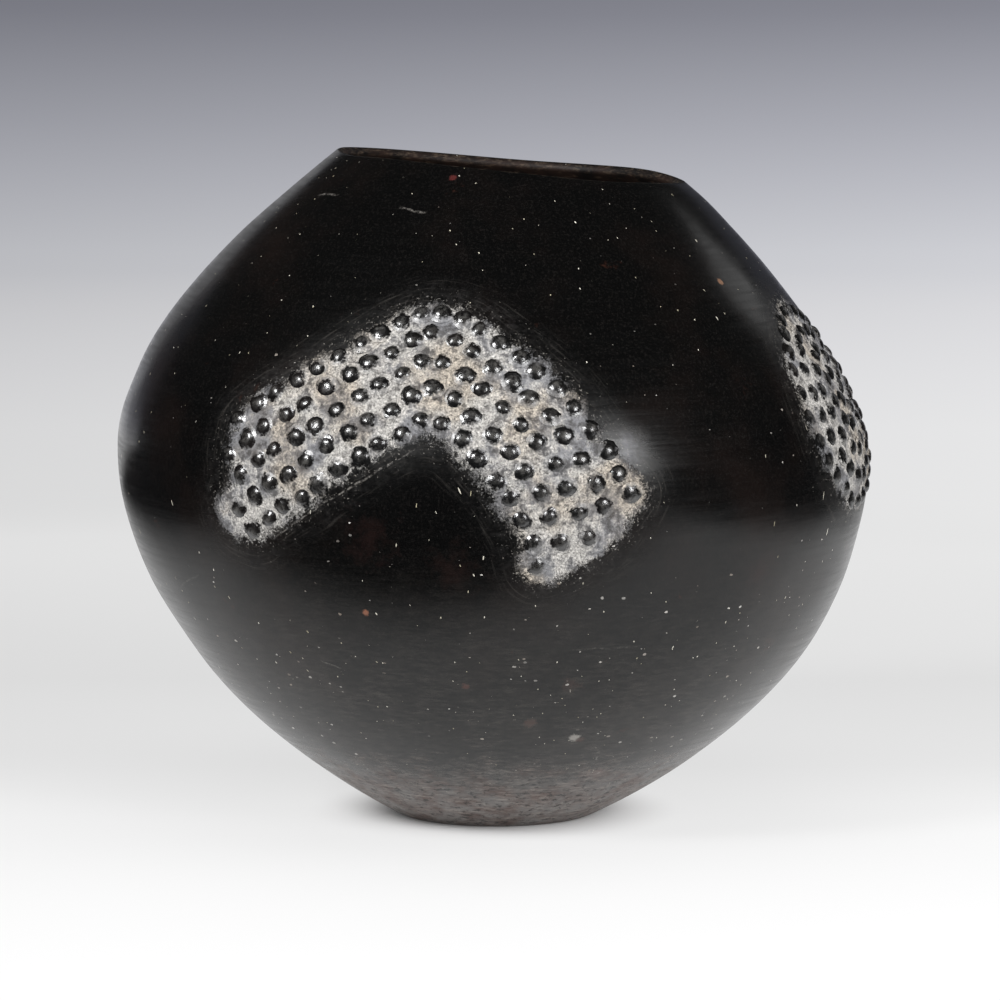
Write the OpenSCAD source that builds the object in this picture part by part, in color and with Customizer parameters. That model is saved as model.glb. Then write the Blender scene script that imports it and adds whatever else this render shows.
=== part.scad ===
// Ukhamba, a round beer pot of smoke-fired clay with pellet decoration.
// The front of the pot faces -Y, +Z is up, and the pot stands on z = 0.

/* [Body] */
// Outside radius at the belly, the widest level
belly_r = 165.5; // [140:0.5:190]
// Height of the belly above the ground
belly_h = 160; // [140:1:180]
// Depth below the ground at which the bowl's curve would close
bowl_under = 17; // [12:1:30]
// How square the bowl's curve is at the belly
bowl_roundness = 2.1; // [1.9:0.01:2.3]
// How fast the bowl's curve draws in towards the foot
bowl_fullness = 0.805; // [0.7:0.005:0.9]
// Height over the rim at which the shoulder's curve would close
shoulder_over = 55.5; // [45:0.5:68]
// How square the shoulder's curve is at the belly
shoulder_roundness = 1.74; // [1.6:0.01:2]
// How fast the shoulder draws in towards the mouth
shoulder_fullness = 1.02; // [0.9:0.01:1.1]

/* [Wall] */
// Thickness of the wall from the foot to the belly
wall = 7; // [5:0.5:9]
// Thickness of the wall at the lip
lip = 5; // [4:0.5:7]
// Thickness of the floor in the middle
floor_t = 10; // [8:0.5:14]
// Height of the base disc's outer edge
base_h = 12; // [8:1:18]
// How far each joint climbs from the outside of the wall to the inside
joint_lap = 4; // [0:0.5:6]

/* [Hand building] */
// Number of clay coils over the base, the rim among them
coils = 12; // [8:1:16]
// Fall of each level towards the right, per millimetre across
level_fall = 0.042; // [0:0.002:0.05]
// Lean of the pot towards the right, per millimetre of height
side_lean = 0.018; // [0:0.002:0.03]
// Height of the rim over the middle of the pot, along its own axis
rim_h = 286.5; // [260:0.5:310]
// Fall of the rim towards the right, over that of the levels
rim_fall = 0.055; // [0:0.005:0.08]

/* [Pellets] */
// Diameter of a pellet at the wall
pellet_d = 7; // [5:0.5:8]
// How far a pellet stands out
pellet_h = 2; // [1.5:0.1:3]
// Distance between neighbouring pellets in a row
pitch = 10.4; // [10:0.1:13]
// Distance between rows, and between rings
row_gap = 11; // [10:0.5:13]
// How far a pellet may stray from its place
stray = 0.7; // [0:0.1:1]

/* [Chevrons] */
// Direction of the front chevron's peak, in degrees to the right of the front
chevron_turn = -11; // [-30:1:8]
// Distance of the middle row's peak above the belly, along the wall
chevron_peak = 55; // [50:1:60]
// Length of each arm along the middle row
arm_length = 105; // [80:1:110]
// Slant of an arm's end, in degrees, by which each row reaches further than the one outside it
end_slant = 22; // [0:1:30]
// Slope of the left arm, in degrees
left_slope = 35.5; // [30:0.5:45]
// Slope of the right arm at the peak, in degrees
right_slope = 21; // [18:1:45]
// Radius along which the right arm bends down
right_bend = 115; // [100:1:300]
// Rows of pellets in a chevron
chevron_rows = 5; // [3:2:7]

/* [Discs] */
// Direction of the right disc's middle, in degrees to the right of the front
right_disc_turn = 73; // [65:1:80]
// Direction of the left disc's middle, less than zero because it lies to the left
left_disc_turn = -120; // [-125:1:-70]
// Distance of each disc's middle above the belly, along the wall
disc_rise = 35; // [30:1:45]
// Rings of pellets round the middle one
disc_rings = 4; // [2:1:5]

/* [Hidden] */
$fn = 96;
// Steps in the outline of one coil
coil_steps = 5;
// Distances from the belly at which the bowl's and the shoulder's curves would close
bowl_depth = belly_h + bowl_under;
shoulder_height = rim_h - belly_h + shoulder_over;
// How far the last coil runs on past the middle of the rim before it is cut
rim_spare = 8;
// Angles on the body's curve where the first coil starts and the last one ends
first_angle = acos((belly_h - base_h) / bowl_depth);
last_angle = acos((belly_h - rim_h - rim_spare) / shoulder_height);
// Depth to which the base runs on below the ground before it is cut flat
base_spare = 3;
// Width of the outline's finite step
outline_step = 0.5;
// Radius at which the patterns are drawn flat, and that of the belly's curve
pattern_r = 160;
meridian_r = 105;
// Angles that scatter the pellets' strays along a row and across it
along_angle = 137;
across_angle = 71;
// Places of the first pellet in odd and in even rows, as shares of a step
odd_share = 0.75;
even_share = 0.25;
// Direction of the pot's front, and of the back from it, in degrees
front_angle = -90;
back_angle = 180;
// Size of a block that reaches past the whole pot
block = 3 * belly_r;

// Each level of the pot falls to the right, and the whole pot leans a little.
hand_shape = [
  [1, 0, side_lean, -side_lean * belly_h],
  [0, 1, 0, 0],
  [-level_fall, 0, 1, 0]
];

// Outside radius at a height along the pot's axis
function outside_r(h) =
  h < belly_h
    ? belly_r * pow(1 - pow((belly_h - h) / bowl_depth, bowl_roundness), bowl_fullness)
    : belly_r * pow(1 - pow((h - belly_h) / shoulder_height, shoulder_roundness), shoulder_fullness);

// How fast the radius grows with height
function flare(h) =
  (outside_r(h + outline_step) - outside_r(h - outline_step)) / (2 * outline_step);

// Outward direction of the wall in the outline's plane
function outward(h) = [1, -flare(h)] / norm([1, -flare(h)]);

// The wall thins from the belly up to the lip.
function thickness(h) =
  h < belly_h ? wall : wall + (lip - wall) * pow((h - belly_h) / (rim_h - belly_h), 2);

function outside_point(h) = [outside_r(h), h];
function inside_point(h) = outside_point(h) - thickness(h) * outward(h);

// Height of a joint between coils, for equal turns of an angle about the belly
function joint_angle(i) = first_angle + (last_angle - first_angle) * i / coils;
function angle_h(angle) =
  belly_h - (angle < 90 ? bowl_depth : shoulder_height) * cos(angle);
function joint_h(i) = angle_h(joint_angle(i));

// A turned shape, laid in quarter turns and then given the pot's hand-made shape.
module hand_turned() {
  for (quarter = [0 : 90 : 270]) {
    multmatrix(hand_shape)
      rotate([0, 0, quarter])
        rotate_extrude(angle = 90) children();
  }
}

// Outline of coil i: up the outside, over the top joint and down the inside.
module coil_outline(i) {
  low = joint_h(i);
  rise = (joint_h(i + 1) - low) / coil_steps;
  outside = [for (k = [0 : coil_steps]) outside_point(low + rise * k)];
  inside = [for (k = [coil_steps : -1 : 0]) inside_point(low + rise * k + joint_lap)];
  polygon(concat(outside, inside));
}

// Everything above the rim's sloping plane
module above_rim() {
  multmatrix(hand_shape)
    translate([0, 0, rim_h])
      multmatrix([[1, 0, 0, 0], [0, 1, 0, 0], [-rim_fall, 0, 1, 0]])
        translate([-block / 2, -block / 2, 0]) cube(block);
}

module base_disc() {
  top = joint_h(0);
  fall = (top + base_spare) / coil_steps;
  edge = [for (k = [0 : coil_steps]) outside_point(-base_spare + fall * k)];
  color("#4a4440")
    difference() {
      hand_turned()
        polygon(concat([[0, -base_spare]], edge, [inside_point(top + joint_lap), [0, floor_t]]));
      translate([-block / 2, -block / 2, -block]) cube(block);
    }
}

module coil(i) {
  color("#1b1918") hand_turned() coil_outline(i);
}

module rim_coil() {
  color("#231d1a")
    difference() {
      hand_turned() coil_outline(coils - 1);
      above_rim();
    }
}

// A small stray for the place of pellet n, the same each time
function wander(n, angle) = stray * sin(n * angle);

// Place on the pot of a point drawn flat: x along the belly, y up the wall from the belly.
function pattern_h(y) = belly_h + meridian_r * sin(y / meridian_r * 180 / PI);
function pattern_angle(x, turn) = front_angle + turn + x / pattern_r * 180 / PI;

// One pellet: a low dome whose flat back lies on the wall.
module pellet(x, y, turn) {
  h = pattern_h(y);
  angle = pattern_angle(x, turn);
  out = outward(h);
  round_place = [outside_r(h) * cos(angle), outside_r(h) * sin(angle), h, 1];
  place = hand_shape * round_place;
  round_normal = [out[0] * cos(angle), out[0] * sin(angle), out[1]];
  normal = [
    round_normal[0] + level_fall * round_normal[2],
    round_normal[1] * (1 + level_fall * side_lean),
    round_normal[2] - side_lean * round_normal[0]
  ];
  tilt = acos(normal[2] / norm(normal));
  heading = atan2(normal[1], normal[0]);
  dome_r = (pow(pellet_d / 2, 2) + pow(pellet_h, 2)) / (2 * pellet_h);
  translate(place)
    rotate([0, tilt, heading])
      difference() {
        translate([0, 0, pellet_h - dome_r]) sphere(r = dome_r);
        translate([-pellet_d, -pellet_d, -2 * pellet_d]) cube(2 * pellet_d);
      }
}

// A chevron's row runs up the left arm, round the peak and down the right arm.
// Its offset is the distance outside the middle row, less than zero inside it.
peak_bend = left_slope + right_slope;
function mitre(offset) = offset < 0 ? -offset * tan(peak_bend / 2) : 0;
function row_arm(offset) = arm_length - offset * tan(end_slant);
function left_run(offset) = row_arm(offset) - mitre(offset);
function peak_run(offset) = offset > 0 ? offset * peak_bend * PI / 180 : 0;
function right_run(offset) = row_arm(offset) * (right_bend + offset) / right_bend - mitre(offset);
function row_run(offset) = left_run(offset) + peak_run(offset) + right_run(offset);

function left_point(offset, d) = [
  (d - row_arm(offset)) * cos(left_slope) - offset * sin(left_slope),
  (d - row_arm(offset)) * sin(left_slope) + offset * cos(left_slope)
];

function peak_point(offset, d) =
  offset * [cos(90 + left_slope - d / offset * 180 / PI), sin(90 + left_slope - d / offset * 180 / PI)];

function right_point(offset, d) =
  let (angle = right_slope + (d + mitre(offset)) / (right_bend + offset) * 180 / PI)
  (right_bend + offset) * [sin(angle), cos(angle)] - right_bend * [sin(right_slope), cos(right_slope)];

function row_point(offset, d) =
  d < left_run(offset)
    ? left_point(offset, d)
    : d < left_run(offset) + peak_run(offset)
      ? peak_point(offset, d - left_run(offset))
      : right_point(offset, d - left_run(offset) - peak_run(offset));

module chevron_row(turn, row) {
  offset = ((chevron_rows + 1) / 2 - row) * row_gap;
  count = round(row_run(offset) / pitch);
  step = row_run(offset) / count;
  start = row % 2 == 0 ? even_share : odd_share;
  color("#151312")
    for (n = [0 : count - 1]) {
      at = row_point(offset, (n + start) * step);
      pellet(
        at[0] + wander(n, along_angle + row),
        at[1] + chevron_peak + wander(n, across_angle + row),
        turn
      );
    }
}

module disc_ring(turn, ring) {
  count = ring == 0 ? 1 : round(2 * PI * ring * row_gap / pitch);
  color("#151312")
    for (n = [0 : count - 1]) {
      angle = 360 * (n + ring / 2) / count;
      pellet(
        ring * row_gap * cos(angle) + wander(n, along_angle + ring),
        ring * row_gap * sin(angle) + disc_rise + wander(n, across_angle + ring),
        turn
      );
    }
}

function numbered(name, first, last) = [for (i = [first : last]) str(name, i)];

base_disc();
for (i = [1 : coils - 1]) {
  coil(i - 1);
}
rim_coil();
for (row = [1 : chevron_rows]) {
  chevron_row(chevron_turn, row);
  chevron_row(chevron_turn + back_angle, row);
}
for (ring = [0 : disc_rings]) {
  disc_ring(right_disc_turn, ring);
  disc_ring(left_disc_turn, ring);
}
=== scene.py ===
# %% [markdown]
# # A smoke-fired beer pot
# An ukhamba is a round beer pot, built up by hand from coils of clay, burnished with a
# pebble, and blackened in a smoky second firing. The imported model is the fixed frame: its
# solids say where each piece is, and this lesson gives them the skin and finish of the
# real pot. Everything is in metres; sizes that come from the pot are written in millimetres.

import math
from random import Random

import bmesh
import bpy
from mathutils import Matrix, Vector, noise
from mathutils.bvhtree import BVHTree
from mathutils.kdtree import KDTree


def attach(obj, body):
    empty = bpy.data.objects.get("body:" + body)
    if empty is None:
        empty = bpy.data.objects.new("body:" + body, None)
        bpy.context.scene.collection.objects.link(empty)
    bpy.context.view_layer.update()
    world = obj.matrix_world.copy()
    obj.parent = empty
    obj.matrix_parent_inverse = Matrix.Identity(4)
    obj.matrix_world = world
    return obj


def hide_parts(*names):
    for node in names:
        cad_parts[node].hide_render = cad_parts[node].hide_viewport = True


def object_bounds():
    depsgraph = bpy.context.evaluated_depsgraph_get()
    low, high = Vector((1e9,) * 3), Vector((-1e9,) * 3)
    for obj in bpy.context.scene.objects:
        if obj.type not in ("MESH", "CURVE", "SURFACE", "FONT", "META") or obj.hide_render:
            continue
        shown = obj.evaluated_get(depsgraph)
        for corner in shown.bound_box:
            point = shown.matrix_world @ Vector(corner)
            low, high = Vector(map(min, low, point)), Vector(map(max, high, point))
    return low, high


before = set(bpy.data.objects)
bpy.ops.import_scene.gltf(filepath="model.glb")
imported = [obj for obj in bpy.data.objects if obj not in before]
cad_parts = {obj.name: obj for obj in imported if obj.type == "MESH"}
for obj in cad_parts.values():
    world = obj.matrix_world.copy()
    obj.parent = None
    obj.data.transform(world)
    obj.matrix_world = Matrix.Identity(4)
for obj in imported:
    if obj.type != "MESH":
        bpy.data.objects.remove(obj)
cad_low, cad_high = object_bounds()
MM = 0.001
scene = bpy.context.scene
box_mm = [round(side / MM, 1) for side in cad_high - cad_low]
print("packed nodes:", len(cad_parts), "box in mm:", box_mm)

# %% [markdown]
# ## The camera
# The pot was looked at from two metres away, a little above its rim, with a long lens.
# The focal length is kept in pixels of a square picture and turned into millimetres on
# Blender's own sensor, so that the picture's framing comes out the same.

# %% The camera
PICTURE_PX = 1000
FOCAL_PX = 4545.45
SENSOR_MM = 36
CAMERA_PITCH = 6.319
lens = bpy.data.cameras.new("front_camera")
lens.sensor_width = SENSOR_MM
lens.lens = SENSOR_MM * FOCAL_PX / PICTURE_PX
camera = bpy.data.objects.new("front_camera", lens)
camera.location = Vector((2.44, -2000, 360)) * MM
camera.rotation_euler = (math.radians(90 - CAMERA_PITCH), 0, 0)
scene.collection.objects.link(camera)
scene.camera = camera
scene.view_settings.view_transform = "Standard"
print("lens in mm:", round(lens.lens, 1))

# %% [markdown]
# ## The wall's outline
# The bowl and the shoulder of the pot are two curves that meet at the belly. A turned
# outline could be drawn by hand as a Bezier curve, but two short formulas with named sizes
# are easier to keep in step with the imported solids, so they are repeated here.

# %% Outline of the wall, in millimetres
BELLY_R, BELLY_H, RIM_H = 165.5, 160, 286.5
BOWL_DEPTH, BOWL_ROUNDNESS, BOWL_FULLNESS = 177, 2.1, 0.805
SHOULDER_HEIGHT, SHOULDER_ROUNDNESS, SHOULDER_FULLNESS = 182, 1.74, 1.02
WALL, LIP, FLOOR = 7, 5, 10


def outside_r(h):
    """Outside radius at a height along the pot's axis."""
    if h < BELLY_H:
        return BELLY_R * (1 - ((BELLY_H - h) / BOWL_DEPTH) ** BOWL_ROUNDNESS) ** BOWL_FULLNESS
    return BELLY_R * (1 - ((h - BELLY_H) / SHOULDER_HEIGHT) ** SHOULDER_ROUNDNESS) ** SHOULDER_FULLNESS


def outward(h):
    """Direction out of the wall, as a radius and a height."""
    flare = outside_r(h + 0.5) - outside_r(h - 0.5)
    return Vector((1, -flare)).normalized()


def wall_at(h):
    """Thickness of the wall, which thins from the belly up to the lip."""
    share = max(0, (h - BELLY_H) / (RIM_H - BELLY_H))
    return WALL + (LIP - WALL) * share ** 2


print("foot, belly and mouth across:", [round(2 * outside_r(h)) for h in (0, BELLY_H, RIM_H)])

# %% [markdown]
# ## Points along the outline
# The outline runs from the middle of the foot, up the outside, over the rounded lip, and
# down the inside to the middle of the floor. Equal steps of an angle about the belly put
# more points where the wall bends faster.

# %% Points along the outline
OUTSIDE_STEPS, INSIDE_STEPS, LIP_STEPS, FOOT_STEPS, FLOOR_STEPS = 150, 70, 6, 8, 10
OUTSIDE, INSIDE = 0.0, 1.0
LIP_CROWN, FLOOR_EDGE_H = 0.8, 14


def level(share):
    """Height for a share of the way up the wall."""
    low = math.acos(BELLY_H / BOWL_DEPTH)
    high = math.acos((BELLY_H - RIM_H) / SHOULDER_HEIGHT)
    turn = low + (high - low) * share
    return BELLY_H - (BOWL_DEPTH if turn < math.pi / 2 else SHOULDER_HEIGHT) * math.cos(turn)


def inside_point(h):
    """Radius and height of the inner wall, level with a point of the outside."""
    return Vector((outside_r(h), h)) - wall_at(h) * outward(h)


outline = [(outside_r(0) * k / FOOT_STEPS, 0, OUTSIDE) for k in range(FOOT_STEPS)]
levels = [level(k / OUTSIDE_STEPS) for k in range(OUTSIDE_STEPS + 1)]
outline += [(outside_r(h), h, OUTSIDE) for h in levels]
lip_out, lip_in = Vector((outside_r(RIM_H), RIM_H)), inside_point(RIM_H)
lip_middle, lip_half = (lip_out + lip_in) / 2, (lip_out - lip_in) / 2
lip_up = LIP_CROWN * Vector((-lip_half.y, lip_half.x))
for k in range(1, LIP_STEPS):
    turn = math.pi * k / LIP_STEPS
    point = lip_middle + lip_half * math.cos(turn) + lip_up * math.sin(turn)
    outline.append((point.x, point.y, k / LIP_STEPS))
levels = [level(1 - k / INSIDE_STEPS) for k in range(INSIDE_STEPS + 1)]
outline += [(*inside_point(h), INSIDE) for h in levels if h > FLOOR_EDGE_H]
edge_r, edge_h, _ = outline[-1]
for k in range(1, FLOOR_STEPS + 1):
    share = 1 - k / FLOOR_STEPS
    outline.append((edge_r * share, FLOOR + (edge_h - FLOOR) * share ** 3, INSIDE))
print("points along the outline:", len(outline))

# %% [markdown]
# ## Turning the wall
# A spin turns the outline into the wall, as the potter's hands went round it. The points
# carry two numbers that the spin copies: the height they started at, and whether they lie
# outside or inside. They stay on the mesh for the finish to read.

# %% Turning the wall
AROUND = 288


def spin_round(mesh, chain, steps):
    """Spins a chain of points about the upright axis into one skin."""
    edges = [mesh.edges.new(pair) for pair in zip(chain, chain[1:])]
    bmesh.ops.spin(
        mesh, geom=chain + edges, cent=(0, 0, 0), axis=(0, 0, 1),
        angle=2 * math.pi, steps=steps, use_merge=True,
    )
    bmesh.ops.remove_doubles(mesh, verts=mesh.verts, dist=0.01 * MM)
    bmesh.ops.recalc_face_normals(mesh, faces=mesh.faces)


wall_mesh = bmesh.new()
height_layer = wall_mesh.verts.layers.float.new("height")
inside_layer = wall_mesh.verts.layers.float.new("inside")
chain = []
for r, h, side in outline:
    vert = wall_mesh.verts.new((0, -r * MM, h * MM))
    vert[height_layer] = h
    vert[inside_layer] = side
    chain.append(vert)
spin_round(wall_mesh, chain, AROUND)
print("faces of the turned wall:", len(wall_mesh.faces))

# %% [markdown]
# ## The hand-made shape
# A hand-built pot is never true. Each level of this one falls to the right, the body leans,
# the rim has swells of its own, and a thumb or a pebble left shallow dents everywhere.
# Moving the turned points keeps the even mesh that clean reflections need.

# %% The hand-made shape
LEVEL_FALL, SIDE_LEAN, RIM_FALL = 0.042, 0.018, 0.055
FOOT_BLEND, RIM_BLEND = 40, 60
# Swells of the lip: degrees round from the front, spread in degrees, height
LIP_SWELLS = [(122, 24, 2.4), (150, 20, 0.8), (-63, 18, -1.2), (33, 16, -0.6)]
# Dents and swells of the sides: degrees round, height, spread up the wall, depth
SIDE_DENTS = [
    (-90, 270, 14, -0.8), (-90, 187, 12, -0.7), (-90, 145, 20, 0.8), (-80, 78, 16, -1.2),
    (90, 280, 10, 1.0), (85, 215, 35, -1.5), (83, 130, 22, -1.6), (80, 98, 14, -0.7),
]
DENT_DEGREES = 28
# Broad and fine unevenness of the wall: width and depth
UNEVEN = [(75, 0.7), (32, 0.3), (14, 0.06)]


def ease(share):
    """A smooth step from nought to one."""
    share = min(1, max(0, share))
    return share * share * (3 - 2 * share)


def bump(away, spread):
    """A swell that is one in its middle and dies away."""
    return math.exp(-((away / spread) ** 2))


def direction(place):
    """Angle round the pot from the front, positive to the right."""
    return math.atan2(place.x, -place.y)


def turned_from(angle, middle):
    """Degrees from one direction to another, the short way round."""
    return (angle - middle + 180) % 360 - 180


def out_of_true(place, angle, h):
    """How far the hands left the wall out of true."""
    uneven = sum(depth * noise.noise(place / width) for width, depth in UNEVEN)
    for middle, level_h, spread, depth in SIDE_DENTS:
        uneven += depth * bump(turned_from(angle, middle), DENT_DEGREES) * bump(h - level_h, spread)
    return uneven * ease(h / FOOT_BLEND)


def shape_by_hand(vert):
    """Moves a turned point to where the hands left it."""
    x, y, z = vert.co / MM
    r, h, outside = math.hypot(x, y), vert[height_layer], vert[inside_layer] < 0.5
    angle = math.degrees(direction(vert.co))
    side = math.sin(math.radians(angle))
    rim_here = -RIM_FALL * outside_r(RIM_H) * side
    rim_here += sum(swell * bump(turned_from(angle, at), spread) for at, spread, swell in LIP_SWELLS)
    rise = rim_here * ease((h - RIM_H + RIM_BLEND) / RIM_BLEND)
    rise += LEVEL_FALL * r * side * (1 - ease(h / FOOT_BLEND)) * outside
    level_h = min(max(h, 0), RIM_H)
    grow = outside_r(level_h + rise) - outside_r(level_h) + out_of_true(Vector((x, y, h)), angle, h)
    wider = (r + grow) / r if r > 1 else 1
    x, y, z = x * wider, y * wider, z + rise
    vert.co = Vector((x + SIDE_LEAN * (z - BELLY_H), y, z - LEVEL_FALL * x)) * MM
    if h <= 0 and outside:
        vert.co.z = 0


for vert in wall_mesh.verts:
    shape_by_hand(vert)
wall_mesh.normal_update()
highest = [round(max(vert.co[axis] for vert in wall_mesh.verts) / MM, 1) for axis in range(3)]
print("highest corner of the wall in mm:", highest)

# %% [markdown]
# ## Where the pellets sit
# The pellets, called amasumpa, are small balls of clay pressed on in rows. Each one is a
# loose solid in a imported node, so its middle is found there, and the nearest point of the
# wall gives its seat and the direction it stands out in.

# %% Where the pellets sit
PELLET_NODES = sorted(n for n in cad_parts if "chevron" in n or "disc_ring" in n)
wall_tree = BVHTree.FromBMesh(wall_mesh)


def pellet_seats(name):
    """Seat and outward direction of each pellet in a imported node."""
    solids = bmesh.new()
    solids.from_mesh(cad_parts[name].data)
    bmesh.ops.remove_doubles(solids, verts=solids.verts, dist=0.001 * MM)
    seats, seen = [], set()
    for first in solids.verts:
        if first.index in seen:
            continue
        seen.add(first.index)
        island = [first]
        for vert in island:
            for edge in vert.link_edges:
                other = edge.other_vert(vert)
                if other.index not in seen:
                    seen.add(other.index)
                    island.append(other)
        middle = sum((v.co for v in island), Vector()) / len(island)
        seat, normal, _, _ = wall_tree.find_nearest(middle)
        seats.append((seat, normal))
    solids.free()
    return seats


def on_wall(turn, height):
    """Point of the outer wall at a direction in degrees and a height above the floor."""
    turn = math.radians(turn)
    way = Vector((math.sin(turn), -math.cos(turn), 0))
    return wall_tree.ray_cast(way + Vector((0, 0, height * MM)), -way)[0]


seats = {name: pellet_seats(name) for name in PELLET_NODES}
print("pellets:", sum(len(s) for s in seats.values()), "in", len(seats), "rows and rings")

# %% [markdown]
# ## The pale ash between the pellets
# Ash and fine clay stay behind where the pebble can't reach, so the ground between the
# pellets is pale. Each pellet adds a soft hill to a number on the wall's points. Where the
# hills add up, the ash is full, and its edge runs smoothly past the outer pellets, with no
# scallops; the finish breaks that edge up later. A few smears reach past the last pellets. A
# second number turns the hills back into a distance from the motif, in millimetres, for the
# strokes of the pebble that went round it.

# %% The pale ash between the pellets
ASH_HILL, ASH_REACH, ASH_SLUMP = 9, 32, 1
# Smears past the last pellets: degrees round from the front, and height
ASH_SMEARS = [
    (14.5, 139), (11.5, 134), (18, 145), (-41.5, 143), (-43, 151), (6.8, 131), (8.5, 129), (20.5, 160),
]
all_seats = [seat for name in PELLET_NODES for seat, normal in seats[name]]
all_seats += [on_wall(turn, height) for turn, height in ASH_SMEARS]
pellet_tree = KDTree(len(all_seats))
for number, seat in enumerate(all_seats):
    pellet_tree.insert(seat - Vector((0, 0, ASH_SLUMP * MM)), number)
pellet_tree.balance()
ash_layer = wall_mesh.verts.layers.float.new("ash")
past_layer = wall_mesh.verts.layers.float.new("past_motif")


def ash_at(place):
    """Sum of the pellets' hills at a place."""
    near = pellet_tree.find_range(place, ASH_REACH * MM)
    return sum(bump(gap / MM, ASH_HILL) for seat, number, gap in near)


for vert in wall_mesh.verts:
    vert[ash_layer] = ash_at(vert.co) if vert[inside_layer] < 0.5 else 0
    vert[past_layer] = ASH_HILL * math.sqrt(-math.log(min(1, max(1e-6, vert[ash_layer]))))
print("points with ash:", sum(vert[ash_layer] > 1 for vert in wall_mesh.verts))

# %% [markdown]
# ## The wall as a piece
# Each finished mesh becomes an object at the origin that rides on the pot's one body and
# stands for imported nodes. The wall is one skin over the base and all the coils, because the
# potter rubbed the joints away and the real pot shows none.

# %% The wall as a piece


def make_piece(name, mesh, slot, *nodes):
    """A finished piece on the pot's one body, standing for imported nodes."""
    data = bpy.data.meshes.new(name)
    mesh.to_mesh(data)
    mesh.free()
    data.shade_smooth()
    piece = bpy.data.objects.new(name, data)
    scene.collection.objects.link(piece)
    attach(piece, "root")
    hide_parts(*nodes)
    return piece


WALL_NODES = sorted(set(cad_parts) - set(PELLET_NODES))
wall = make_piece("burnished_wall", wall_mesh, "burnished_clay", *WALL_NODES)
print(wall.name, "stands for", len(WALL_NODES), "nodes,", len(wall.data.polygons), "faces")

# %% [markdown]
# ## A pellet
# A rolled ball flattens when it is pressed on, and its foot is smeared into the wall. A
# short outline is spun into that low nipple once, with few faces because it is repeated
# hundreds of times, and each copy is then squeezed and turned a little differently.

# %% A pellet
PELLET_OUTLINE = [
    (0, 1.6), (1.5, 1.49), (2.5, 1.14), (3.2, 0.6), (3.8, 0.2), (4.5, 0.03), (5.3, -0.5),
]
PELLET_AROUND = 10
form_mesh = bmesh.new()
middle_layer = form_mesh.verts.layers.float.new("middle")
chain = [form_mesh.verts.new((r * MM, 0, h * MM)) for r, h in PELLET_OUTLINE]
for vert in chain:
    vert[middle_layer] = 1 - vert.co.x / chain[-1].co.x
spin_round(form_mesh, chain, PELLET_AROUND)
pellet_form = bpy.data.meshes.new("pellet_form")
form_mesh.to_mesh(pellet_form)
form_mesh.free()
print("faces of one pellet:", len(pellet_form.polygons))

# %% [markdown]
# ## Pressing the pellets on
# Every seat gets a copy of the pellet, squeezed, turned and tilted a little by a seeded
# hand, so that no two look alike and every run gives the same pot. The hills of ash are
# measured on the pellets too, so that the outermost ones stand with one side out of the ash.

# %% Pressing the pellets on
rolled = Random(7)
# How far the hand strays: tilt in degrees, then shares of the size, the width and the height
TILTS, SIZES, WIDTHS, HEIGHTS = (-12, 12), (0.92, 1.08), (0.9, 1.1), (0.75, 1.15)


def press_on(mesh, seat, normal):
    """One copy of the pellet at its seat, squeezed and turned by hand."""
    mesh.from_mesh(pellet_form)
    mesh.verts.ensure_lookup_table()
    made = mesh.verts[-len(pellet_form.vertices):]
    turn = Matrix.Rotation(rolled.uniform(0, 2 * math.pi), 4, "Z")
    tilt = Matrix.Rotation(math.radians(rolled.uniform(*TILTS)), 4, "X")
    size = rolled.uniform(*SIZES)
    squeeze = Matrix.Diagonal((size * rolled.uniform(*WIDTHS), size, rolled.uniform(*HEIGHTS), 1))
    stand = normal.to_track_quat("Z", "Y").to_matrix().to_4x4()
    to_seat = Matrix.Translation(seat) @ stand @ tilt @ turn @ squeeze
    bmesh.ops.transform(mesh, matrix=to_seat, verts=made)


pellet_pieces = []
for name in PELLET_NODES:
    mesh = bmesh.new()
    for seat, normal in seats[name]:
        press_on(mesh, seat, normal)
    ash_layer = mesh.verts.layers.float.new("ash")
    for vert in mesh.verts:
        vert[ash_layer] = ash_at(vert.co)
    pellet_pieces.append(make_piece(name + "_pellets", mesh, "pellet_clay", name))
faces = sum(len(piece.data.polygons) for piece in pellet_pieces)
print("pellet pieces:", len(pellet_pieces), "faces in all:", faces)

# %% [markdown]
# ## Tools for the finishes
# Colours are written as they look on screen and turned to linear once, here. One small
# function adds a shader node, sets its choices and links its inputs. A pattern's size in
# millimetres becomes the number of repeats in a metre, which is what a texture node wants.

# %% Tools for the finishes


def paint(colour):
    """Linear colour of an sRGB hex value."""
    parts = [int(colour[k:k + 2], 16) / 255 for k in (1, 3, 5)]
    return [p / 12.92 if p <= 0.04045 else ((p + 0.055) / 1.055) ** 2.4 for p in parts] + [1]


def per_metre(size_mm):
    """Repeats in a metre of a pattern this many millimetres wide."""
    return 1000 / size_mm


def add(tree, kind, inputs=(), **choices):
    """A shader node with its choices set and its inputs linked; gives its outputs."""
    made = tree.nodes.new("ShaderNode" + kind)
    for name, value in choices.items():
        setattr(made, name, value)
    for name, value in dict(inputs).items():
        if isinstance(value, bpy.types.NodeSocket):
            tree.links.new(value, made.inputs[name])
        else:
            made.inputs[name].default_value = value
    return made.outputs


def new_finish(name):
    """An empty material and its node tree."""
    finish = bpy.data.materials.new(name)
    finish.use_nodes = True
    finish.node_tree.nodes.clear()
    return finish, finish.node_tree


FACTOR, FIRST, SECOND, MIXED = 0, 6, 7, 2
SOFT, PLAIN = "SMOOTHSTEP", "LINEAR"
print("black clay in linear light:", [round(c, 4) for c in paint("#141110")[:3]])

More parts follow.
